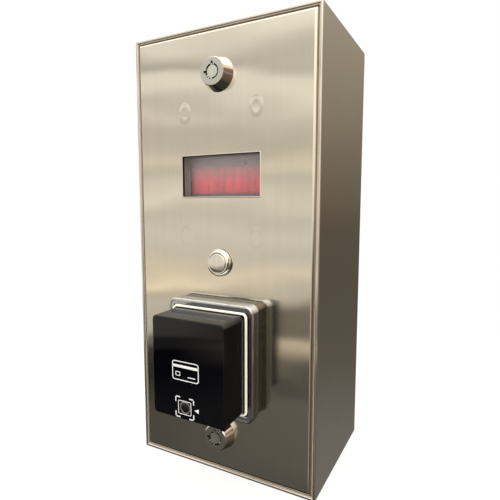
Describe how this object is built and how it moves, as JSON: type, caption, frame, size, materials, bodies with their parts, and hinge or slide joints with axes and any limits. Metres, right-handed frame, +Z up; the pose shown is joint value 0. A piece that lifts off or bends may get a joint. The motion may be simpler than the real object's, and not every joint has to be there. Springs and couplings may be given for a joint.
{
  "type": "ticket vending machine",
  "caption": "Compact steel wall box for cashless fares: lift-off front panel with digit display, push button, cam locks and a black card and code reader.",
  "frame": {"origin": "centre of the enclosure's underside", "axes": "+Z up, +Y towards the wall, -Y out of the front panel, +X to the right seen from the front"},
  "size_m": [0.14, 0.1386, 0.305],
  "materials": {
    "case_steel": "brushed stainless steel, warm grey, fine upright grain",
    "panel_steel": "brushed stainless steel, warm grey, fine upright grain",
    "bracket_steel": "plain stainless steel sheet",
    "plated_steel": "bright zinc plate",
    "spring_steel": "spring wire",
    "button_steel": "polished stainless steel",
    "cap_steel": "satin stainless steel",
    "lock_chrome": "polished chrome plate with a matte face",
    "core_steel": "dull nickel plate",
    "spacer_brass": "nickel plated brass",
    "bezel_metal": "cast metal, satin silver",
    "base_black": "dark moulded plastic",
    "seal_cream": "pale silicone rubber",
    "reader_black": "polished black plastic",
    "reader_glass_black": "polished black cover with a white printed card outline and target marks",
    "frame_black": "dark moulded plastic",
    "smoked_lens": "smoked clear acrylic",
    "digit_red": "red filter over four seven-segment digits",
    "sensor_dark": "dark epoxy",
    "circuit_board": "green lacquered circuit board",
    "supply_case": "potted black plastic",
    "terminal_green": "green moulded plastic",
    "nylon_white": "natural nylon",
    "switch_black": "black moulded plastic",
    "black_rubber": "black rubber",
    "foam_black": "closed-cell foam strip"
  },
  "bodies": {
    "enclosure": {"board_support_1": "nylon_white", "board_support_2": "nylon_white", "board_support_3": "nylon_white", "board_support_4": "nylon_white", "controller_board": "circuit_board", "earth_nut": "plated_steel", "earth_stud": "plated_steel", "enclosure_shell": "case_steel", "power_supply": "supply_case", "stop_left": "bracket_steel", "stop_right": "bracket_steel", "stop_seal_left": "foam_black", "stop_seal_right": "foam_black", "strike_lower": "bracket_steel", "strike_upper": "bracket_steel", "terminal_block": "terminal_green"},
    "front_panel_unit": {"antenna_board": "circuit_board", "button_housing": "button_steel", "button_nut": "plated_steel", "button_spring": "spring_steel", "button_switch": "switch_black", "button_washer": "black_rubber", "code_scanner": "switch_black", "display_board": "circuit_board", "display_digits": "digit_red", "display_frame": "frame_black", "display_lens": "smoked_lens", "display_nut_1": "plated_steel", "display_nut_2": "plated_steel", "display_nut_3": "plated_steel", "display_nut_4": "plated_steel", "display_spacer_1": "spacer_brass", "display_spacer_2": "spacer_brass", "display_spacer_3": "spacer_brass", "display_spacer_4": "spacer_brass", "front_panel": "panel_steel", "light_sensor": "sensor_dark", "lower_lock_housing": "lock_chrome", "lower_lock_nut": "plated_steel", "reader_base": "base_black", "reader_bezel": "bezel_metal", "reader_board": "circuit_board", "reader_case": "reader_black", "reader_glass": "reader_glass_black", "reader_screw_1": "plated_steel", "reader_screw_2": "plated_steel", "reader_screw_3": "plated_steel", "reader_screw_4": "plated_steel", "reader_seal": "seal_cream", "reader_socket": "switch_black", "upper_lock_housing": "lock_chrome", "upper_lock_nut": "plated_steel"},
    "upper_lock": {"upper_cam_screw": "plated_steel", "upper_lock_cam": "plated_steel", "upper_lock_core": "core_steel"},
    "lower_lock": {"lower_cam_screw": "plated_steel", "lower_lock_cam": "plated_steel", "lower_lock_core": "core_steel"},
    "push_cap": {"button_cap": "cap_steel"}
  },
  "joints": [
    {"name": "panel_lift_off", "type": "slide", "parent": "enclosure", "child": "front_panel_unit", "axis": [0, -1, 0], "range_m": [0, 0.08]},
    {"name": "upper_lock_turn", "type": "hinge", "parent": "front_panel_unit", "child": "upper_lock", "pos_m": [0, -0.04, 0.2732], "axis": [0, -1, 0], "range_deg": [0, 90]},
    {"name": "lower_lock_turn", "type": "hinge", "parent": "front_panel_unit", "child": "lower_lock", "pos_m": [0, -0.04, 0.0286], "axis": [0, 1, 0], "range_deg": [0, 90]},
    {"name": "button_push", "type": "slide", "parent": "front_panel_unit", "child": "push_cap", "axis": [0, 1, 0], "range_m": [0, 0.0012], "stiffness_N_per_m": 2500, "springref_m": -0.0004, "deforming": ["button_spring"]}
  ]
}
